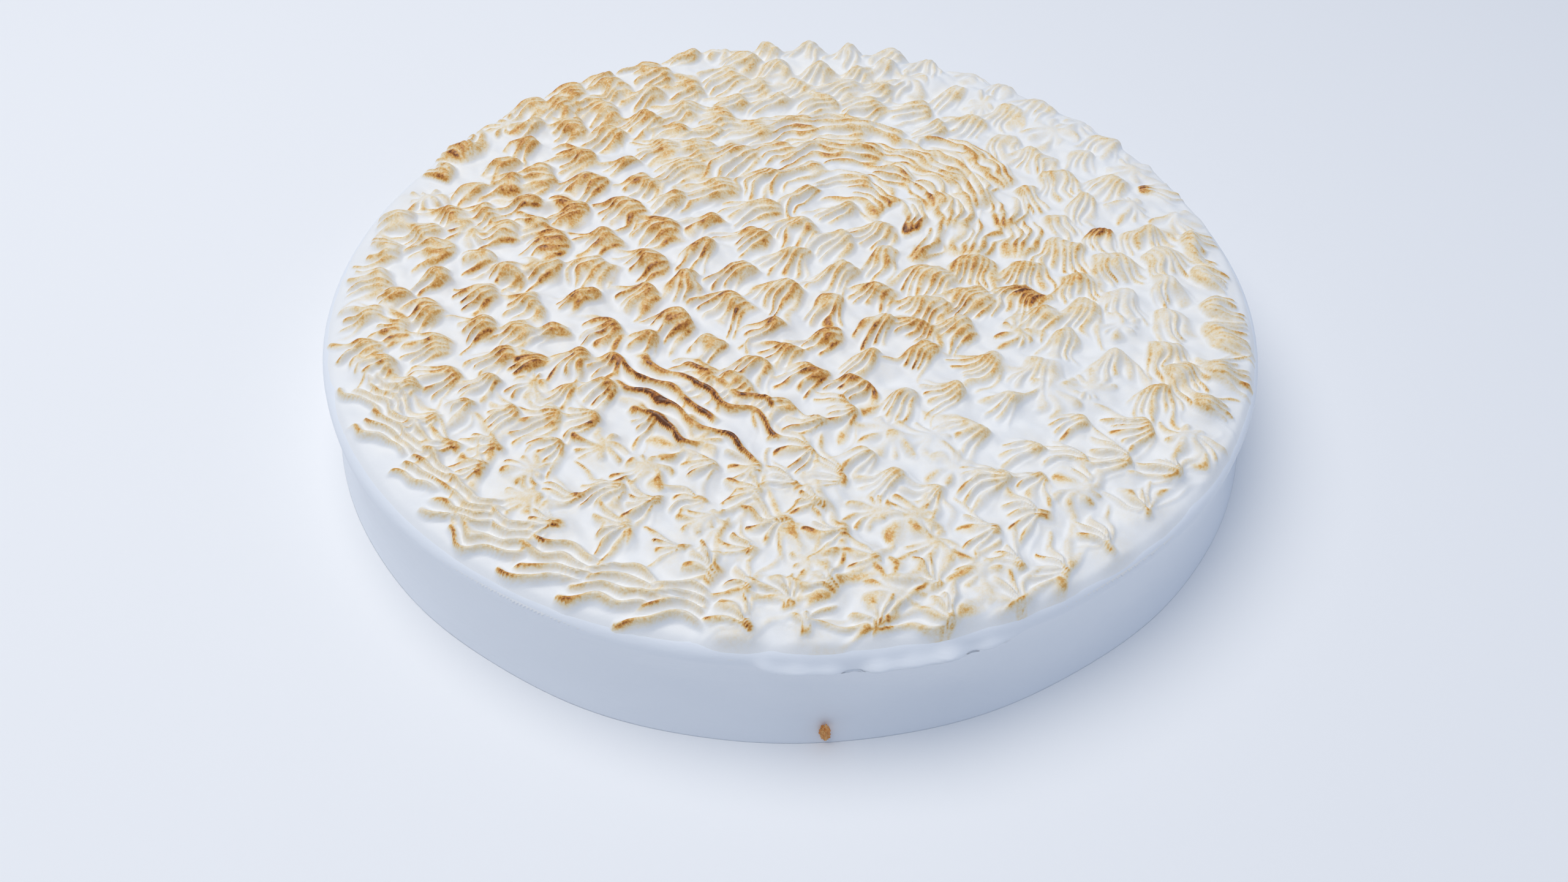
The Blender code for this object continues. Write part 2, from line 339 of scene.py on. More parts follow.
styles = {
    "front": {
        "at": (0, -100), "reach": 34, "height": 4.4, "size": 0.88, "room": 8.0,
        "rosette": 0.15, "open": 0.4, "drag": 0.35, "way": -8, "wayJitter": 36,
        "stretch": 0.84, "pitch": 1.05, "finger": 1.3, "fan": 0.3, "extra": 1.5,
        "full": 0.6, "groove": 0.9, "lean": 0.2, "flame": 120, "aim": 0.30,
        "stroke": 0.84, "lines": 0.06, "cap": 0.36, "capFrom": 0.26, "cream": 0.13, "body": 0.12,
    },
    "frontLeft": {
        "at": (-72, -75), "reach": 28, "height": 4.0, "size": 0.88, "room": 8.0,
        "rosette": 0.3, "open": 0.35, "drag": 0.35, "way": 5, "wayJitter": 34,
        "stretch": 0.88, "pitch": 1.1, "finger": 1.3, "fan": 0.33, "extra": 1.2,
        "full": 0.6, "groove": 0.9, "lean": 0.2, "flame": 170,
        "stroke": 0.7, "lines": 0.1, "cap": 0.3, "capFrom": 0.15, "cream": 0.13, "body": 0.1,
    },
    "leftBorder": {
        "at": (-114, 8), "reach": 20, "height": 3.6, "size": 0.85, "rosette": 0.3, "open": 0.5,
        "way": 15, "pitch": 2.3, "stroke": 0.18, "cap": 0.05, "cream": 0.07, "body": 0.04,
    },
    "left": {
        "at": (-80, 8), "reach": 26, "height": 4.1, "rosette": 0.08, "open": 0.3, "way": 22,
        "flame": 190, "stroke": 0.66, "cap": 0.4, "cream": 0.08, "tan": 0.03,
    },
    "middle": {
        "at": (-32, -12), "reach": 30, "height": 4.6, "stroke": 0.66, "cap": 0.5, "cream": 0.08,
    },
    "centre": {
        "at": (12, 4), "reach": 14, "height": 4.4, "way": 85, "swing": 0.6, "pitch": 1.9,
        "finger": 1.4, "extra": 1, "stroke": 0.48, "cap": 0.24, "cream": 0.05, "body": 0.05,
    },
    "backWaves": {
        "at": (8, 56), "reach": 26, "weight": 1.6, "height": 3.8, "way": 3, "wayJitter": 7,
        "stretch": 1.6, "swing": 1.1, "pitch": 2.2, "finger": 1.4, "fan": 2.2, "extra": 1,
        "stroke": 0.26, "cap": 0.22, "capFrom": 0.10, "cream": 0.12,
    },
    "swirlRight": {
        "at": (50, 34), "reach": 15, "weight": 2.4, "height": 3.8, "way": 128, "wayJitter": 12,
        "stretch": 1.5, "swing": 0.8, "pitch": 2.0, "finger": 1.3, "fan": 2.2, "extra": 1,
        "stroke": 0.5, "cap": 0.24, "capFrom": 0.05, "cream": 0.12,
    },
    "backLeft": {
        "at": (-70, 75), "reach": 34, "height": 4.6, "rosette": 0.08, "open": 0.2, "way": 40,
        "wayJitter": 30, "stretch": 1.1, "swing": 0.5, "stroke": 0.26, "cap": 0.2,
        "cream": 0.13, "tan": 0.1,
    },
    "back": {
        "at": (10, 112), "reach": 24, "height": 8.6, "rosette": 0.3, "stroke": 0.08,
        "cap": 0.08, "cream": 0.06, "tan": 0.02, "body": 0.05,
    },
    "backRight": {
        "at": (76, 66), "reach": 32, "height": 4.0, "rosette": 0.3, "open": 0.2, "swing": 0.8,
        "pitch": 1.9, "finger": 1.3, "extra": 1, "groove": 0.6, "stroke": 0.12, "cap": 0.12,
        "cream": 0.06, "body": 0.05,
    },
    "right": {
        "at": (104, -22), "reach": 26, "height": 3.8, "size": 0.95, "rosette": 0.1, "open": 0.3,
        "way": 172, "stretch": 1.05, "swing": 0.6, "pitch": 1.65, "finger": 1.1, "extra": 2,
        "stroke": 0.52, "cap": 0.08, "cream": 0.09, "tan": 0.03,
    },
    "rightMiddle": {
        "at": (50, -20), "reach": 24, "height": 3.8, "way": 52, "wayJitter": 14,
        "stretch": 1.2, "swing": 1.0, "pitch": 1.65, "finger": 1.15, "extra": 2,
        "stroke": 0.66, "cap": 0.26, "cream": 0.18, "tan": 0.03,
    },
    "frontRight": {
        "at": (60, -78), "reach": 26, "height": 4.5, "size": 0.9, "room": 8.2,
        "rosette": 0.25, "open": 0.4, "drag": 0.35, "way": 5, "wayJitter": 36,
        "stretch": 0.88, "swing": 0.5, "pitch": 1.1, "finger": 1.3, "fan": 0.33, "extra": 1.2,
        "full": 0.6, "lean": 0.2, "flame": 230, "aim": 0.5,
        "stroke": 0.42, "lines": 0.06, "cap": 0.3, "capFrom": 0.25, "cream": 0.08, "body": 0.09,
    },
}
# a nearly white path that the torch skipped, between the inner turns and the border
whitePath = {
    "reach": 8, "weight": 2.2, "rosette": 0.4, "open": 0.6, "pitch": 2.0, "fan": 1.0,
    "full": 0.6, "groove": 0.7, "stroke": 0.12, "lines": 0.1, "cap": 0.05, "cream": 0.03,
    "body": 0.02,
}
for number, spot in enumerate([(30, -66), (48, -55), (64, -39), (78, -26), (88, -12)]):
    styles["whitePath%d" % number] = {**whitePath, "at": spot}
anglesOfStyle = ("way", "flame")
numbersOfStyle = [name for name in plainStyle if name not in anglesOfStyle]


def blendedStyle(x, y):
    blend = dict.fromkeys(numbersOfStyle, 0.0)
    turns = {name: Vector((0.0, 0.0)) for name in anglesOfStyle}
    total = 0.0
    for changes in styles.values():
        style = {**plainStyle, **changes}
        away = math.hypot(x / mm - style["at"][0], y / mm - style["at"][1])
        weight = style["weight"] * math.exp(-0.5 * (away / style["reach"]) ** 2) + 1e-9
        total += weight
        for name in numbersOfStyle:
            blend[name] += weight * style[name]
        for name in anglesOfStyle:
            angle = math.radians(style[name])
            turns[name] += weight * Vector((math.cos(angle), math.sin(angle)))
    look = {name: value / total for name, value in blend.items()}
    for name, turn in turns.items():
        look[name] = math.atan2(turn.y, turn.x)
    return look


# Where the stars stand: a border of single stars, and inside it a spiral
layout = {
    "borderStars": 53,
    "borderRadius": 108.8 * mm,
    "borderCentre": (1.2 * mm, 0.0),
    "borderFrom": 103.0 * mm,    # stars further out than this face inwards
    "borderBack": 60.0 * mm,     # except behind this line
    "backPush": 4.0 * mm,        # the border lies this much further out at the back
    "sideInset": 1.2 * mm,       # keeps this much further from the rim at the sides
    "frontPush": 4.2 * mm,       # and this much nearer to it at the front
    "frontAngle": math.radians(-72.0),
    "sideFrom": math.radians(34.0),
    "frontWay": math.radians(-52.0),    # there the heads hang over the rim
    "spiralRadius": 96.5 * mm,
    "spiralStart": math.radians(48.0),
    "spiralEnd": (8.0 * mm, 12.0 * mm),
    "lastRadius": 7.0 * mm,
    "turnPitch": 12.4 * mm,
    "starPitch": 12.5 * mm,
    "settleReach": 15.0 * mm,    # stars nearer than this push each other apart
    "settleShare": 0.16,
    "settleRounds": 60,
    "jitter": 1.3 * mm,
    "gapStep": 2.0 * mm,         # gaps are looked for on a grid this fine
    "gapWithin": 107.0 * mm,
    "gapLeast": 7.0 * mm,
    "seed": 7,
}


def settle(places):
    # neighbours push each other apart, and the border stays where it is
    spots = np.array(places)
    held = layout["borderStars"]
    for _ in range(layout["settleRounds"]):
        gaps = spots[:, None, :] - spots[None, :, :]
        lengths = np.linalg.norm(gaps, axis=2) + np.eye(len(spots))
        push = np.clip(layout["settleReach"] - lengths, 0.0, None) / lengths
        moves = layout["settleShare"] * (gaps * push[:, :, None]).sum(axis=1)
        spots[held:] += moves[held:]
    return [(float(x), float(y)) for x, y in spots]


def layStars():
    places = []
    for index in range(layout["borderStars"]):
        angle = 2.0 * math.pi * index / layout["borderStars"]
        turned = math.remainder(angle - layout["frontAngle"], 2.0 * math.pi)
        atFront = math.exp(-(turned / layout["sideFrom"]) ** 2)
        side = (1.0 - atFront) * min(1.0, 1.0 - math.sin(angle))
        radius = layout["borderRadius"] + layout["backPush"] * max(0.0, math.sin(angle))
        radius += layout["frontPush"] * atFront - layout["sideInset"] * side
        places.append((layout["borderCentre"][0] + radius * math.cos(angle),
                       layout["borderCentre"][1] + radius * math.sin(angle)))
    radius = layout["spiralRadius"]
    angle = layout["spiralStart"]
    end = layout["spiralEnd"]
    while radius > layout["lastRadius"]:
        drift = 1.0 - radius / layout["spiralRadius"]
        places.append((end[0] * drift + radius * math.cos(angle),
                       end[1] * drift + radius * math.sin(angle)))
        step = layout["starPitch"] / radius
        angle -= step
        radius -= layout["turnPitch"] * step / (2.0 * math.pi)
    places.append(end)
    return settle(places)


# An upright star
star = {
    "footRadius": 8.8 * mm,
    "rosetteSpread": 1.12,       # rosettes reach this much further than shells
    "ridges": 8,
    "tipReach": 0.62,            # share of the foot radius that a fully dragged tip moves
    "tipHeight": 1.6 * mm,
    "tipWidth": 0.24,            # shares of the foot radius, for the tip and its browning
    "capWidth": 0.30,
    "bladeHeight": 2.1 * mm,     # how high the blades stand on the soft mound below them
    "bladePower": 0.75,
    "bladeFall": 0.35,           # how much lower they are at the foot
    "notch": 0.22,               # how far a groove cuts into the round foot
    "bladeFrom": (0.12, 0.46),   # the blades rise out of the middle over these shares of the foot
    "bladeEnd": (6, 0.7),        # how flat they stay before their ends, and how those round off
    "openStart": 0.40,           # in an open star they start this low, and rise over these shares
    "openRise": (0.25, 0.80),
    "markFrom": (0.25, 0.60),    # the torch's marks fade in and out over these shares
    "markTo": (0.88, 0.98),
    "sizeJitter": 0.16,
    "twist": math.radians(42.0),
    "bend": 0.30,                # how unevenly the ridges fan out
    "tints": (0.50, 1.25),       # how strongly one star browns against another
    "uneven": (0.5, 1.0),        # how tall and how long one ridge is against another
    "markPower": 0.7,            # lower numbers let the torch miss fewer ridges
}

# A star drawn sideways
shell = {
    "ridges": (3, 6),
    "mostRidges": 12,
    "head": 0.54,                # foot radii from the middle to the blunt head
    "tail": 1.02,                # and to the ends of the longest ridges
    "bluntFrom": 0.15,           # the head rounds off from this far behind the middle
    "headFade": (0.20, 0.34),    # the fingers run into the head over these lengths
    "sideEnd": (3, 0.8),         # how flat each stays, and how it rounds off
    "frontEnd": (3.2, 0.75),
    "tailEnd": (4, 0.7),
    "headHeight": 2.7 * mm,
    "fingerHeight": 2.2 * mm,
    "flute": 0.16,               # depth of the fine grooves over the head, as a share of its height
    "pairing": 0.16,             # how unevenly the ridges are spaced
    "waveLength": 20.0 * mm,
    "waveStart": 0.8,
    "rimMark": 0.55,             # how strongly the torch marked the rim of a head
    "curl": 26.0,                # bend of a ridge sideways, in metres per square metre
}

# The soft mound that a star stands on
mound = {
    "reach": 7.4 * mm,
    "fuse": 0.7 * mm,            # how softly neighbouring mounds run together
    "below": 0.85,               # it ends this share of a blade's height under the star's top
    "hollow": 0.5,               # depth of the hollow in an open star, and how narrow it is
    "hollowNarrow": 2.2,
    "crown": 0.15,               # under a shell it is tallest this far ahead of the middle
    "ahead": 1.7,                # and how steeply it falls ahead, behind and to the sides
    "behind": 0.9,
    "aside": 1.3,
    "tintPower": 1.5,
}

# The sheet of meringue that all the piping is part of
sheet = {
    "step": 0.40 * mm,
    "edgeRadius": 118.4 * mm,
    "edgeFade": 2.4 * mm,        # stars fade out over this width before the sheet ends
    "fuse": 0.34 * mm,           # how softly neighbouring ridges run together
    "under": 0.15 * mm,          # where nothing is piped the sheet lies this far under the coat
    "underFade": 0.4 * mm,
    "fill": 0.5 * mm,            # thickness of meringue between the stars
    "fillRadius": 113.5 * mm,
    "fillFade": (6.0 * mm, 5.0 * mm),
    "backSwell": 4.2 * mm,       # thickness under the row of tall stars at the back
    "backRadius": 108.0 * mm,
    "backReach": 8.0 * mm,
    "wander": 0.75 * mm,         # how far the ridges stray from a perfect star
    "wanderWaves": 9,
    "wanderWidths": (7.0 * mm, 16.0 * mm),
    "lumps": 0.42 * mm,
    "lumpWidths": (5.0 * mm, 14.0 * mm),
    "fineLumps": 0.09 * mm,
    "fineWidths": (2.4 * mm, 5.0 * mm),
    "softRounds": 1,
    "proud": 0.22 * mm,          # a crest this far above its surroundings browns the most
    "proudRounds": 12,
    "flame": math.radians(205.0),
    "caughtEvenly": 0.85,        # what browns anywhere, on proud crests, and facing the flame
    "caughtProud": 0.35,
    "caughtFacing": 0.35,
    "windows": (1.7, 2.3),       # foot radii worked on round a star, and round a long one
    "longFrom": 1.3,
    "seed": 3,
    "rings": {
        "innerTurns": (0.0, 62.0 * mm),
        "outerTurns": (62.0 * mm, 88.0 * mm),
        "lastTurn": (88.0 * mm, 105.0 * mm),
        "borderStars": (105.0 * mm, 118.4 * mm),
    },
}

# Round this place the stars were drawn along circles, so that their ridges read as rings
swirl = {
    "at": (16.0 * mm, 24.0 * mm),
    "radii": (9.0 * mm, 50.0 * mm),
    "from": math.radians(-35.0),
    "to": math.radians(150.0),
    "look": {
        "stretch": 1.55, "swing": 0.9, "pitch": 2.7, "fan": 2.6, "extra": 0.0,
        "stroke": 0.62, "lines": 0.45, "capFrom": 0.1, "cream": 0.15,
    },
    "wayJitter": 0.4,            # share that is left of the usual jitter
}


def makeStar(x, y, rng):
    look = blendedStyle(x, y)
    heading = look["way"]
    curl = shell["curl"] * rng.uniform(-1.0, 1.0)
    around = math.atan2(y - swirl["at"][1], x - swirl["at"][0])
    away = math.dist((x, y), swirl["at"])
    inRadii = swirl["radii"][0] < away < swirl["radii"][1]
    if inRadii and swirl["from"] < around < swirl["to"]:
        look = {**look, **swirl["look"], "wayJitter": look["wayJitter"] * swirl["wayJitter"]}
        heading = around - 0.5 * math.pi
        curl = -0.5 / away           # the bend of a circle of this radius
    if math.hypot(x, y) > layout["borderFrom"] and y < layout["borderBack"]:
        atFront = abs(math.atan2(y, x) - layout["frontAngle"]) < layout["sideFrom"]
        heading = layout["frontWay"] if atFront else math.atan2(-y, -x)
    way = heading + rng.uniform(-1.0, 1.0) * math.radians(look["wayJitter"])
    lean = star["footRadius"] * star["tipReach"] * look["drag"]
    count = rng.randint(*shell["ridges"]) + round(look["extra"])
    most = range(shell["mostRidges"])
    return {
        "x": x,
        "y": y,
        "look": look,
        "way": way,
        "count": count,
        "rosette": rng.random() < look["rosette"],
        "turn": rng.uniform(0.0, 2.0 * math.pi),
        "size": look["size"] * (1.0 + rng.uniform(-1.0, 1.0) * star["sizeJitter"]),
        "height": look["height"] * mm * (1.0 + rng.uniform(-1.0, 1.0) * star["sizeJitter"]),
        "tipX": lean * math.cos(way),
        "tipY": lean * math.sin(way),
        "marks": np.array([rng.random() ** star["markPower"] for _ in most]),
        "tall": np.array([rng.uniform(*star["uneven"]) for _ in most]),
        "ends": np.array([rng.uniform(*star["uneven"]) for _ in most]),
        "tint": rng.uniform(*star["tints"]),
        "twist": star["twist"] * rng.uniform(-1.0, 1.0),
        "bends": (rng.uniform(0.0, 6.28), rng.uniform(0.0, 6.28)),
        "wave": rng.uniform(-shell["waveStart"], shell["waveStart"]),
        "curl": curl,
        "shift": rng.uniform(-0.5, 0.5),
    }


def moundUnder(one, x, y):
    # the soft white body of a star, sunk in the middle where the star is open
    u, v = alongAndAcross(x, y, (one["x"], one["y"]), one["way"])
    reach = mound["reach"] * one["size"]
    rounded = one["height"] - mound["below"] * star["bladeHeight"]
    if one["rosette"]:
        away = np.hypot(u, v) / reach
        hollow = mound["hollow"] * one["look"]["open"] * np.exp(-(mound["hollowNarrow"] * away) ** 2)
        return rounded * (np.exp(-away ** 2) - hollow)
    along = u / (reach * one["look"]["stretch"])
    steep = np.where(along > mound["crown"], mound["ahead"], mound["behind"])
    across = mound["aside"] * (v / reach) ** 2
    return rounded * np.exp(-steep * (along - mound["crown"]) ** 2 - across)


def rosetteRelief(one, x, y):
    # an upright star: blades all round a tip, or round a sunk middle where it is open
    look = one["look"]
    foot = star["footRadius"] * star["rosetteSpread"] * one["size"]
    dx = x - one["x"] - one["tipX"]
    dy = y - one["y"] - one["tipY"]
    away = np.hypot(dx, dy) + 1e-9
    ux, uy = dx / away, dy / away
    inward = one["tipX"] * ux + one["tipY"] * uy
    toFoot = -inward + np.sqrt(inward ** 2 + foot ** 2 - one["tipX"] ** 2 - one["tipY"] ** 2)
    share = away / toFoot
    footAngle = np.arctan2(one["tipY"] + uy * toFoot, one["tipX"] + ux * toFoot)
    bends = np.sin(2 * footAngle + one["bends"][0]) + 0.6 * np.sin(3 * footAngle + one["bends"][1])
    twisted = one["twist"] * (1.0 - np.minimum(share, 1.0))
    turned = footAngle - one["turn"] - twisted + 0.5 * star["bend"] * bends
    crest = hill(star["ridges"] * turned)
    ridge = np.floor(turned / (2.0 * math.pi) * star["ridges"] + 0.5).astype(int) % star["ridges"]
    tall, ends, marks = one["tall"][ridge], one["ends"][ridge], one["marks"][ridge]
    # each ridge ends in a rounded petal, and an open star's ridges rise towards the foot
    edge = np.clip(share / (ends * (1.0 - star["notch"] * (1.0 - crest))), 0.0, 1.0)
    rounded = roundedEnd(edge, *star["bladeEnd"]) * smoothStep(*star["bladeFrom"], share)
    rising = smoothStep(*star["openRise"], share)
    rising = star["openStart"] + (1.0 - star["openStart"]) * rising
    falling = 1.0 - star["bladeFall"] * np.minimum(share, 1.0)
    profile = rounded * (rising * look["open"] + falling * (1.0 - look["open"]))
    blade = star["bladeHeight"] * tall * crest ** star["bladePower"] * profile
    tipFall = np.exp(-(away / (star["tipWidth"] * foot)) ** 2)
    height = look["groove"] * (blade + star["tipHeight"] * (1.0 - look["open"]) * tipFall)
    petal = smoothStep(0.05, 0.35, share) * smoothStep(1.0, 0.85, edge) * smoothStep(0.0, 0.5, crest)
    # the torch marks the crests on the flame's side, and the tip
    facing = hill(footAngle - look["flame"])
    lit = 1.0 - look["aim"] + look["aim"] * smoothStep(0.25, 0.9, facing)
    along = smoothStep(*star["markFrom"], share) * (1.0 - smoothStep(*star["markTo"], edge))
    line = 0.35 * smoothStep(0.40, 0.80, crest) + 0.65 * smoothStep(0.80, 0.98, crest)
    stroke = look["stroke"] * marks * lit * line * along
    capFall = np.exp(-(away / (star["capWidth"] * foot)) ** 4)
    cap = look["cap"] * one["tint"] * (1.0 - look["open"]) * capFall
    return height, stroke, cap, petal


def shellRelief(one, x, y):
    # a star drawn sideways: a rounded blunt head that splits into fingers behind it
    look = one["look"]
    u, v = alongAndAcross(x, y, (one["x"], one["y"]), one["way"])
    swing = look["swing"] * mm * np.sin(2.0 * math.pi * u / shell["waveLength"] + one["wave"])
    v = v + swing - one["curl"] * u ** 2
    length = star["footRadius"] * one["size"] * look["stretch"]
    beyond = look["fan"] * length
    angle = np.arctan2(v, np.maximum(beyond - u, 1.0 * mm))
    pitch = look["pitch"] * mm / beyond
    phase = angle / pitch + one["shift"]
    phase = phase + shell["pairing"] * np.sin(2.0 * math.pi * phase / 3.0 + one["bends"][0])
    # fingers stay as wide as they are, and white gaps open where they fan apart
    spacing = pitch * np.hypot(v, beyond - u)
    halfWidth = np.minimum(look["finger"] * mm, 0.5 * spacing)
    offset = (phase - np.round(phase)) * spacing / halfWidth
    crest = hill(math.pi * np.clip(offset, -1.0, 1.0))
    ridge = np.floor(phase + 0.5).astype(int) % shell["mostRidges"]
    tall, ends, marks = one["tall"][ridge], one["ends"][ridge], one["marks"][ridge]
    along = u / length
    behind = np.clip(-along / (shell["tail"] * ends), 0.0, 1.0)
    blunt = shell["bluntFrom"]
    ahead = np.clip((along + blunt) / (shell["head"] + blunt), 0.0, 1.0)
    across = np.clip(np.abs(angle) / (0.5 * one["count"] * pitch), 0.0, 1.0)
    # its sides, its blunt front and the ends of its ridges are rounded off
    side = roundedEnd(across, *shell["sideEnd"])
    front = roundedEnd(ahead, *shell["frontEnd"])
    tail = roundedEnd(behind, *shell["tailEnd"])
    headLine = along + 0.12 * (ends - 0.8)
    fadeBack, fadeAhead = shell["headFade"]
    onHead = smoothStep(look["capFrom"] - fadeBack, look["capFrom"] + fadeAhead, headLine)
    body = shell["fingerHeight"] + (shell["headHeight"] - shell["fingerHeight"]) * onHead
    depth = 1.0 - (1.0 - shell["flute"]) * onHead
    rounded = tail * (tall + (1.0 - tall) * onHead)
    shape = rounded * front * side * (1.0 - depth * (1.0 - crest ** look["full"]))
    height = look["groove"] * body * shape
    # the torch marks the head, its rim, and the ridges most of all at their ends
    cap = onHead * smoothStep(0.28, 0.55, front * side) * (0.80 + 0.20 * crest)
    rim = smoothStep(0.10, 0.45, front * side) * smoothStep(0.95, 0.60, onHead * side)
    rim = rim * smoothStep(-0.1, 0.25, onHead)
    onRim = shell["rimMark"] * rim * crest * min(1.0, look["cap"] / 0.3)
    offCrest = hill(math.pi * np.clip(offset - look["lean"], -1.0, 1.0))
    line = 0.4 * smoothStep(0.45, 0.85, offCrest) + 0.6 * smoothStep(0.78, 0.98, offCrest)
    atTip = smoothStep(0.35, 0.72, behind) * (0.4 + 0.6 * marks)
    onFinger = smoothStep(0.99, 0.90, behind) * (look["lines"] + (1.0 - look["lines"]) * atTip)
    onFinger = onFinger * smoothStep(0.1, 0.4, side * front)
    stroke = look["stroke"] * marks * np.maximum(line * onFinger, onRim)
    standing = smoothStep(0.05, 0.35, shape + 0.2 * front * side * (1.0 - behind))
    pale = np.maximum(0.2 + 0.8 * crest, onHead) * standing
    return height, stroke, look["cap"] * one["tint"] * cap, pale


# The border at the front left, drawn along the rim in long strokes like a rope
rope = {
    "from": math.radians(-158.0),
    "to": math.radians(-98.0),
    "fade": 0.03,                # its ends and the ends of its soft body fade over these angles
    "swellFade": 0.1,
    "outer": 116.0 * mm,
    "beyond": 101.0 * mm,        # stars further out than this give way to it
    "stroke": 14.5 * mm,
    "reaches": (1.5, 2.1),       # strokes that the first and the last one reach along the rim
    "slants": (0.46, 0.10),      # how fast a stroke leaves the rim, first and last
    "pitch": 2.8 * mm,
    "pitches": (1.2, 0.7),       # of that, where a stroke starts and where it ends
    "blades": 4,
    "bladeEnd": (6, 0.7),
    "height": 2.2 * mm,
    "swing": 0.8 * mm,
    "swings": 9.0,
    "swell": 1.5 * mm,
    "swellRadius": 108.0 * mm,
    "swellReach": 8.0 * mm,
    "starts": (0.0, 0.25),       # where a blade starts and ends, in shares of its stroke
    "ends": (0.7, 1.0),
    "marks": (0.1, 0.6),         # how strongly the torch marked one blade against another
    "seed": 11,
}


def alongRope(angle, fade):
    # 1 along the rope, and down to 0 at both its ends
    begun = smoothStep(rope["from"], rope["from"] + fade, angle)
    return begun * smoothStep(rope["to"], rope["to"] - fade, angle)


def ropeRelief(x, y):
    radius, angle = np.hypot(x, y), np.arctan2(y, x)
    run = (angle - rope["from"]) * rope["outer"]
    inRange = alongRope(angle, rope["fade"])
    firstPitch, lastPitch = rope["pitches"]
    height, toast = np.zeros_like(x), np.zeros_like(x)
    rng = random.Random(rope["seed"])
    strokes = int((rope["to"] - rope["from"]) * rope["outer"] / rope["stroke"])
    for number in range(-1, 1 + strokes):
        part = max(0.0, number / strokes)
        slant = rope["slants"][0] + (rope["slants"][1] - rope["slants"][0]) * part
        reach = rope["reaches"][0] + (rope["reaches"][1] - rope["reaches"][0]) * part
        sinceStart = run - number * rope["stroke"]
        share = sinceStart / (reach * rope["stroke"])
        pitch = firstPitch - (firstPitch - lastPitch) * np.clip(share, 0.0, 1.0)
        pitch = rope["pitch"] * pitch
        swing = rope["swing"] * np.sin(rope["swings"] * share + number)
        row = (rope["outer"] - radius - slant * sinceStart + swing) / pitch
        blade = np.clip(np.round(row), 0, rope["blades"] - 1).astype(int)
        crest = hill(2.0 * math.pi * (row - blade).clip(-0.5, 0.5))
        starts = np.array([rng.uniform(*rope["starts"]) for _ in range(rope["blades"])])[blade]
        ends = np.array([rng.uniform(*rope["ends"]) for _ in range(rope["blades"])])[blade]
        marks = np.array([rng.uniform(*rope["marks"]) for _ in range(rope["blades"])])[blade]
        inside = np.clip((share - starts) / (ends - starts), 0.0, 1.0)
        rounded = roundedEnd(np.abs(2.0 * inside - 1.0), *rope["bladeEnd"])
        tall = rope["height"] * rounded * crest * inRange
        line = smoothStep(0.70, 0.98, crest) * (smoothStep(0.45, 0.1, inside) + 0.35)
        browning = rounded * np.maximum(marks * line, 0.15 * smoothStep(0.1, 0.7, crest))
        toast = np.where(tall > height, browning, toast)
        height = np.maximum(height, tall)
    return height, toast * inRange


def ropeSwell(x, y):
    radius, angle = np.hypot(x, y), np.arctan2(y, x)
    fall = np.exp(-((radius - rope["swellRadius"]) / rope["swellReach"]) ** 4)
    return rope["swell"] * alongRope(angle, rope["swellFade"]) * fall


# Where several stars were drawn along into a few long wavy blades
longWaves = {
    "at": (-23.0 * mm, -51.0 * mm),
    "way": math.radians(-37.0),
    "length": 54.0 * mm,
    "pitch": 4.7 * mm,
    "blades": 5,
    "bladeEnd": (8, 0.7),
    "height": 2.7 * mm,
    "crestPower": 1.3,
    "swell": 2.2 * mm,
    "swing": 1.0 * mm,
    "waveLength": 19.0 * mm,
    "starts": np.array([0.30, 0.12, 0.02, 0.08, 0.30]),    # shares of the length
    "finishes": np.array([0.72, 0.98, 0.66, 0.96, 0.86]),
    "clear": (0.42, 0.38),       # shares of its length and width that single stars keep clear of
}


def wavesRelief(x, y):
    u, v = alongAndAcross(x, y, longWaves["at"], longWaves["way"])
    v = v + longWaves["swing"] * np.sin(2.0 * math.pi * u / longWaves["waveLength"])
    row = v / longWaves["pitch"] + 0.5 * (longWaves["blades"] - 1)
    blade = np.clip(np.round(row), 0, longWaves["blades"] - 1).astype(int)
    crest = hill(2.0 * math.pi * (row - blade).clip(-0.5, 0.5))
    share = u / longWaves["length"] + 0.5
    start, finish = longWaves["starts"][blade], longWaves["finishes"][blade]
    inside = np.clip((share - start) / (finish - start), 0.0, 1.0)
    ends = roundedEnd(np.abs(2.0 * inside - 1.0), *longWaves["bladeEnd"])
    swell = 0.5 + 0.5 * np.sin(2.0 * math.pi * (2.3 * share + 0.37 * blade))
    height = longWaves["height"] * ends * (0.7 + 0.3 * swell) * crest ** longWaves["crestPower"]
    # the crest is dark, in swelling lines, and the flank below it pale gold
    thick = 0.95 - 0.17 * swell - 0.3 * (1.0 - ends)
    stroke = smoothStep(thick - 0.10, thick + 0.04, crest) * smoothStep(0.2, 0.9, ends)
    stroke = stroke * (0.46 + 0.26 * swell)
    flank = (0.16 + 0.20 * smoothStep(0.55, 0.9, crest)) * ends * smoothStep(0.1, 0.7, crest)
    return height, np.maximum(stroke, flank)


def wavesSwell(x, y):
    u, v = alongAndAcross(x, y, longWaves["at"], longWaves["way"])
    wide = 0.42 * longWaves["pitch"] * longWaves["blades"]
    return longWaves["swell"] * np.exp(-(2.1 * u / longWaves["length"]) ** 4 - (v / wide) ** 4)


def starRelief(one, x, y):
    # height and browning of one star over an array of places
    relief = rosetteRelief if one["rosette"] else shellRelief
    height, stroke, cap, pale = relief(one, x, y)
    look = one["look"]
    brown = cap + stroke * (1.0 - 0.6 * cap)
    pale = (look["tan"] + look["cream"]) * smoothStep(0.1, 0.7, pale)
    return height, np.clip(brown + pale * (1.0 - brown), 0.0, 1.0)


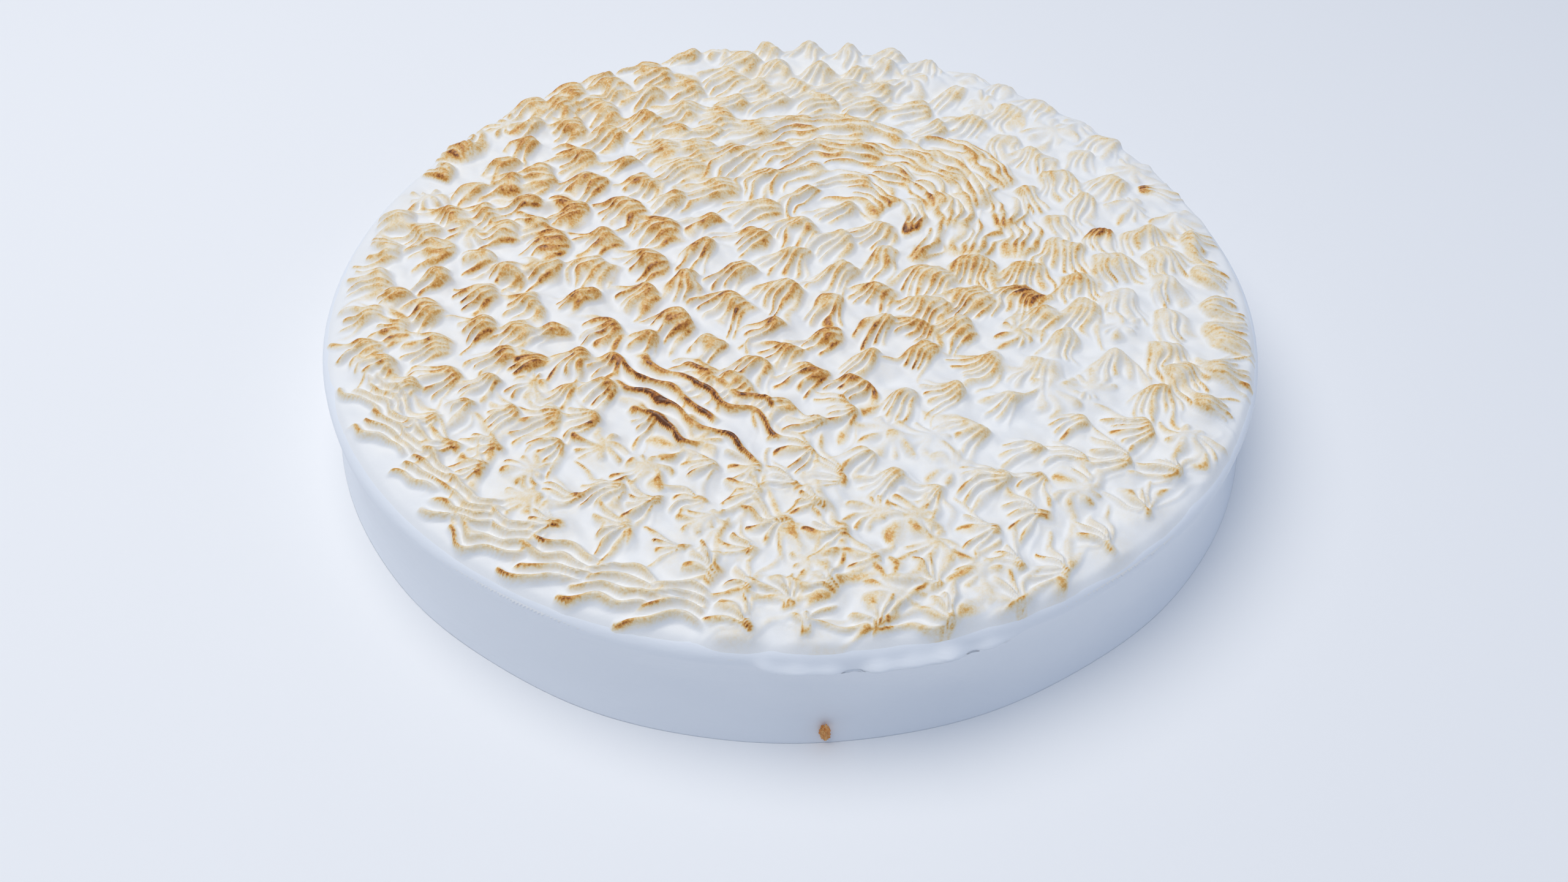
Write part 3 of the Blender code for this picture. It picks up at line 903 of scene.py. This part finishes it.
def wander(x, y, rng, size, widths):
    # smooth irregular waves, sized and spaced between two widths
    total = np.zeros_like(x)
    for _ in range(sheet["wanderWaves"]):
        width = rng.uniform(*widths)
        angle = rng.uniform(0.0, 2.0 * math.pi)
        phase = rng.uniform(0.0, 2.0 * math.pi)
        total += np.sin(2.0 * math.pi * (x * math.cos(angle) + y * math.sin(angle)) / width + phase)
    return size * total / math.sqrt(sheet["wanderWaves"])


def softened(field, rounds):
    # each place takes a little of its neighbours' height, as soft meringue does
    for _ in range(rounds):
        padded = np.pad(field, 1, mode="edge")
        beside = padded[:-2, 1:-1] + padded[2:, 1:-1] + padded[1:-1, :-2] + padded[1:-1, 2:]
        field = 0.5 * padded[1:-1, 1:-1] + 0.125 * beside
    return field


def fused(height, fuse):
    # summing these and taking the log makes heights meet in a soft valley
    return np.exp(height / fuse) - 1.0


def sheetFields(stars):
    # height above the top and browning, on a square grid over the whole tart
    edge = sheet["edgeRadius"]
    half = int(math.ceil(edge / sheet["step"])) + 2
    axis = np.arange(-half, half + 1) * sheet["step"]
    gridX, gridY = np.meshgrid(axis, axis, indexing="ij")
    radius = np.hypot(gridX, gridY)
    fillFrom = sheet["fillRadius"] - sheet["fillFade"][0]
    inside = 1.0 - smoothStep(fillFrom, sheet["fillRadius"] + sheet["fillFade"][1], radius)
    fade = 1.0 - smoothStep(edge - sheet["edgeFade"], edge - sheet["step"], radius)
    rng = random.Random(sheet["seed"])
    bentX = gridX + wander(gridX, gridY, rng, sheet["wander"], sheet["wanderWidths"])
    bentY = gridY + wander(gridX, gridY, rng, sheet["wander"], sheet["wanderWidths"])
    lumps = wander(gridX, gridY, rng, sheet["lumps"], sheet["lumpWidths"])
    lumps += wander(gridX, gridY, rng, sheet["fineLumps"], sheet["fineWidths"])
    ridges = np.ones_like(gridX)
    brown = np.zeros_like(gridX)
    for relief in (wavesRelief, ropeRelief):
        height, toast = relief(bentX, bentY)
        weight = fused(height, sheet["fuse"])
        ridges += weight
        brown += weight * toast
    warm = np.zeros_like(gridX)
    mounds = np.exp((wavesSwell(gridX, gridY) + ropeSwell(gridX, gridY)) / mound["fuse"])
    # the tall stars along the back stand shoulder to shoulder
    atBack = smoothStep(0.25, 0.9, gridY / np.maximum(radius, mm))
    atBack = atBack * np.exp(-((radius - sheet["backRadius"]) / sheet["backReach"]) ** 4)
    mounds += fused(sheet["backSwell"] * atBack, mound["fuse"])
    for one in stars:
        isLong = one["look"]["stretch"] > sheet["longFrom"]
        reach = star["footRadius"] * sheet["windows"][isLong]
        i0, i1 = np.searchsorted(axis, (one["x"] - reach, one["x"] + reach))
        j0, j1 = np.searchsorted(axis, (one["y"] - reach, one["y"] + reach))
        x, y = bentX[i0:i1, j0:j1], bentY[i0:i1, j0:j1]
        under = moundUnder(one, x, y)
        mounds[i0:i1, j0:j1] += fused(under, mound["fuse"])
        warmth = np.clip(under / under.max(), 0.0, 1.0) ** mound["tintPower"]
        warmth = one["look"]["body"] * warmth
        warm[i0:i1, j0:j1] = np.maximum(warm[i0:i1, j0:j1], warmth)
        height, toast = starRelief(one, x, y)
        weight = fused(height, sheet["fuse"])
        ridges[i0:i1, j0:j1] += weight
        brown[i0:i1, j0:j1] += weight * toast
    swell = mound["fuse"] * np.log(np.maximum(mounds, 1.0)) + (sheet["fill"] + lumps) * inside
    height = softened((swell + sheet["fuse"] * np.log(ridges)) * fade, sheet["softRounds"])
    # the flame browns what stands proud and what faces it
    proud = height - softened(height, sheet["proudRounds"])
    proud = np.clip(proud / sheet["proud"], -1.0, 1.0)
    slopeX, slopeY = np.gradient(height, sheet["step"])
    facing = -slopeX * math.cos(sheet["flame"]) - slopeY * math.sin(sheet["flame"])
    facing = np.clip(facing, -1.0, 1.0)
    caught = sheet["caughtEvenly"] + sheet["caughtProud"] * proud + sheet["caughtFacing"] * facing
    caught = np.clip(caught, 0.0, 2.0)
    return axis, height, (brown + warm) / ridges * caught


def layPiping(stars, material):
    axis, height, toast = sheetFields(stars)
    x, y = np.meshgrid(axis, axis, indexing="ij")
    radius = np.hypot(x, y)
    # near the rim the piping follows the coat down
    z = coatHeight(radius) + height - sheet["under"] * np.exp(-height / sheet["underFade"])
    slopeX, slopeY = np.gradient(z, sheet["step"])
    normals = np.stack([-slopeX, -slopeY, np.ones_like(z)], axis=-1)
    normals /= np.linalg.norm(normals, axis=-1, keepdims=True)
    middle = 0.5 * (axis[:-1] + axis[1:])
    cellX, cellY = np.meshgrid(middle, middle, indexing="ij")
    cellRadius = np.hypot(cellX, cellY)
    size = len(axis)
    made = []
    for name, (low, high) in sheet["rings"].items():
        i, j = np.nonzero((cellRadius >= low) & (cellRadius < high))
        first = i * size + j
        corners = np.stack([first, first + size, first + size + 1, first + 1], axis=1)
        used, faces = np.unique(corners, return_inverse=True)
        verts = np.stack([x.ravel()[used], y.ravel()[used], z.ravel()[used]], axis=1)
        fields = {"toast": toast.ravel()[used]}
        piece = meshObject(name, verts, faces.reshape(-1, 4).tolist(), material, fields)
        piece.data.normals_split_custom_set_from_vertices(normals.reshape(-1, 3)[used])
        made.append(piece)
        print(name, 2 * len(corners), "triangles")
    return made


torched = {
    "stops": [(0.0, "#F4F4F3"), (0.12, "#F3EAD9"), (0.26, "#EFD9AE"), (0.42, "#E5B66B"),
              (0.58, "#D4933F"), (0.78, "#A86424"), (1.0, "#673914")],
    "ior": 1.5,                  # dried egg white and sugar
    "roughness": (0.55, 0.30),   # of white meringue and of the darkest caramel
    "blotchGain": 2.2,           # how unevenly the blotches and the specks brown
    "blotchShift": -0.1,
    "speckGain": 1.6,
    "speckShift": 0.2,
    "blotch": 3.3333 * mm,       # the flame flickers over spots about this wide
    "speck": 0.625 * mm,         # blistered sugar is about 0.2 mm wide, drawn coarser so that it shows
    "bubble": 1.4286 * mm,       # whipped bubbles are about 0.3 mm wide, drawn coarser so that they show
    "bubbleDepth": 0.25 * mm,
    "bubbleStrength": 0.25,
}


def torchedMeringue():
    # The same meringue, piped and torched: dense soft white between the ridges, pale gold
    # where the flame has passed, glossy dark caramel on the crests.
    material, tree, shader = newMaterial("torchedMeringue")
    place = addNode(tree, "ShaderNodeTexCoord").outputs["Object"]
    toast = addNode(tree, "ShaderNodeAttribute", {"attribute_name": "toast"})
    blotch = addNode(tree, "ShaderNodeTexNoise", {},
                     {"Scale": 1.0 / torched["blotch"], "Detail": 3.0, "Roughness": 0.6},
                     {"Vector": place})
    speck = addNode(tree, "ShaderNodeTexNoise", {},
                    {"Scale": 1.0 / torched["speck"], "Detail": 2.0, "Roughness": 0.6},
                    {"Vector": place})
    blotchShift = addNode(tree, "ShaderNodeMath", {"operation": "MULTIPLY_ADD"},
                          {1: torched["blotchGain"], 2: torched["blotchShift"]}, {0: blotch.outputs["Fac"]})
    uneven = addNode(tree, "ShaderNodeMath", {"operation": "MULTIPLY"}, {},
                     {0: toast.outputs["Fac"], 1: blotchShift.outputs[0]})
    speckShift = addNode(tree, "ShaderNodeMath", {"operation": "MULTIPLY_ADD"},
                         {1: torched["speckGain"], 2: torched["speckShift"]}, {0: speck.outputs["Fac"]})
    browned = addNode(tree, "ShaderNodeMath", {"operation": "MULTIPLY", "use_clamp": True}, {},
                      {0: uneven.outputs[0], 1: speckShift.outputs[0]}).outputs[0]
    ramp = addNode(tree, "ShaderNodeValToRGB", {}, {}, {"Fac": browned})
    stops = torched["stops"]
    while len(ramp.color_ramp.elements) < len(stops):
        ramp.color_ramp.elements.new(0.5)
    for element, (position, code) in zip(ramp.color_ramp.elements, stops):
        element.position = position
        element.color = hexColor(code)
    tree.links.new(ramp.outputs["Color"], shader.inputs["Base Color"])
    shader.inputs["IOR"].default_value = torched["ior"]
    whiteRough, darkRough = torched["roughness"]
    gloss = addNode(tree, "ShaderNodeMapRange", {}, {"To Min": whiteRough, "To Max": darkRough},
                    {"Value": browned})
    tree.links.new(gloss.outputs["Result"], shader.inputs["Roughness"])
    bubbles = addNode(tree, "ShaderNodeTexNoise", {},
                      {"Scale": 1.0 / torched["bubble"], "Detail": 3.0}, {"Vector": place})
    bump = addNode(tree, "ShaderNodeBump", {},
                   {"Strength": torched["bubbleStrength"], "Distance": torched["bubbleDepth"]},
                   {"Height": bubbles.outputs["Fac"]})
    tree.links.new(bump.outputs["Normal"], shader.inputs["Normal"])
    return material


def givesWay(x, y):
    # no single star stands where the long waves or the rope are drawn
    along, across = alongAndAcross(x, y, longWaves["at"], longWaves["way"])
    wide = longWaves["pitch"] * longWaves["blades"]
    clearAlong, clearAcross = longWaves["clear"]
    onWaves = abs(along) < clearAlong * longWaves["length"] and abs(across) < clearAcross * wide
    inTurn = rope["from"] < math.atan2(y, x) < rope["to"]
    return onWaves or (inTurn and math.hypot(x, y) > rope["beyond"])


def allStars():
    rng = random.Random(layout["seed"])
    made = []
    for x, y in layStars():
        x += rng.uniform(-layout["jitter"], layout["jitter"])
        y += rng.uniform(-layout["jitter"], layout["jitter"])
        if not givesWay(x, y):
            made.append(makeStar(x, y, rng))
    # one more star wherever a gap is left
    steps = np.arange(-layout["gapWithin"], layout["gapWithin"], layout["gapStep"])
    for x, y in [(float(x), float(y)) for x in steps for y in steps]:
        nearest = min(math.hypot(one["x"] - x, one["y"] - y) for one in made)
        if nearest < layout["gapLeast"] or math.hypot(x, y) > layout["gapWithin"] or givesWay(x, y):
            continue
        if nearest > blendedStyle(x, y)["room"] * mm:
            made.append(makeStar(x, y, rng))
    return made


# Single stars that the flame caught more than their neighbours
scorched = {
    "tint": 1.1,
    "stars": [
        ((113.0 * mm, 37.0 * mm), {"cap": 0.75, "stroke": 0.3, "capFrom": 0.1}),
        ((78.0 * mm, 18.0 * mm), {"cap": 0.62, "stroke": 0.3, "capFrom": 0.0}),
        ((66.0 * mm, -12.0 * mm), {"cap": 0.66, "stroke": 0.3, "capFrom": -0.1}),
        ((30.0 * mm, 24.0 * mm), {"cap": 0.72, "stroke": 0.5}),
        ((-65.0 * mm, -33.0 * mm), {"cap": 0.55, "stroke": 0.8, "capFrom": -0.5}),
    ],
}


stars = allStars()
for spot, browning in scorched["stars"]:
    nearest = min(stars, key=lambda one: math.dist((one["x"], one["y"]), spot))
    nearest["rosette"] = False
    nearest["tint"] = scorched["tint"]
    nearest["look"] = {**nearest["look"], **browning}
pieces = [spreadCoat(spreadMeringue()), crustCrumb(bakedBiscuit())]
pieces += layPiping(stars, torchedMeringue())
for piece in pieces:
    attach(piece, "root")
    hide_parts("tart")
print("piping laid:", len(stars), "stars")


floorLook = {
    "side": 3.0,
    "color": "#F6F6F6",
    "roughness": 0.8,
}


def paleFloor():
    # Uncoated studio paper: plain and matte, so that the light falls off evenly on it.
    material, _, shader = newMaterial("paleStudioPaper")
    shader.inputs["Base Color"].default_value = hexColor(floorLook["color"])
    shader.inputs["Roughness"].default_value = floorLook["roughness"]
    mesh = bpy.data.meshes.new("floor")
    side = floorLook["side"]
    corners = [(-side, -side, 0.0), (side, -side, 0.0), (side, side, 0.0), (-side, side, 0.0)]
    mesh.from_pydata(corners, [], [(0, 1, 2, 3)])
    mesh.materials.append(material)
    floor = bpy.data.objects.new("floor", mesh)
    bpy.context.scene.collection.objects.link(floor)


lighting = {
    "skyColor": "#CDE0FF",
    "skyStrength": 0.47,
    "target": (0.0, 0.0, 0.02),
    "lamps": {
        "windowLight": {"place": (-0.36, 0.10, 1.15), "size": 1.2, "power": 9.9, "color": "#FFFBF4"},
        "wallFill": {"place": (0.95, -0.15, 0.35), "size": 0.8, "power": 0.6, "color": "#EAF0FF"},
    },
}


def areaLight(name, lamp):
    data = bpy.data.lights.new(name, "AREA")
    data.shape = "DISK"
    data.size = lamp["size"]
    data.energy = lamp["power"]
    data.color = hexColor(lamp["color"])[:3]
    light = bpy.data.objects.new(name, data)
    light.location = lamp["place"]
    towards = Vector(lighting["target"]) - Vector(lamp["place"])
    light.rotation_euler = towards.to_track_quat("-Z", "Y").to_euler()
    bpy.context.scene.collection.objects.link(light)


def lightScene():
    world = bpy.data.worlds.new("studio")
    bpy.context.scene.world = world
    world.use_nodes = True
    sky = world.node_tree.nodes["Background"]
    sky.inputs["Color"].default_value = hexColor(lighting["skyColor"])
    sky.inputs["Strength"].default_value = lighting["skyStrength"]
    for name, lamp in lighting["lamps"].items():
        areaLight(name, lamp)
    bpy.context.scene.view_settings.view_transform = "Standard"


photoView = {
    "target": (-1.42 * mm, -31.66 * mm, 0.0),
    "distance": 318.08 * mm,
    "elevation": math.radians(45.18),
    "roll": math.radians(0.433),
    "lens": 28.125,
    "sensor": 36.0,
    "nearest": 10.0 * mm,
}


def placeCamera():
    data = bpy.data.cameras.new("camera")
    data.lens = photoView["lens"]
    data.sensor_width = photoView["sensor"]
    data.clip_start = photoView["nearest"]
    camera = bpy.data.objects.new("camera", data)
    elevation = photoView["elevation"]
    back = Vector((0.0, -math.cos(elevation), math.sin(elevation))) * photoView["distance"]
    tilt = Matrix.Rotation(math.pi / 2 - elevation, 4, "X") @ Matrix.Rotation(photoView["roll"], 4, "Z")
    camera.matrix_world = Matrix.Translation(Vector(photoView["target"]) + back) @ tilt
    bpy.context.scene.collection.objects.link(camera)
    bpy.context.scene.camera = camera


paleFloor()
lightScene()
placeCamera()
print("stage and camera placed")
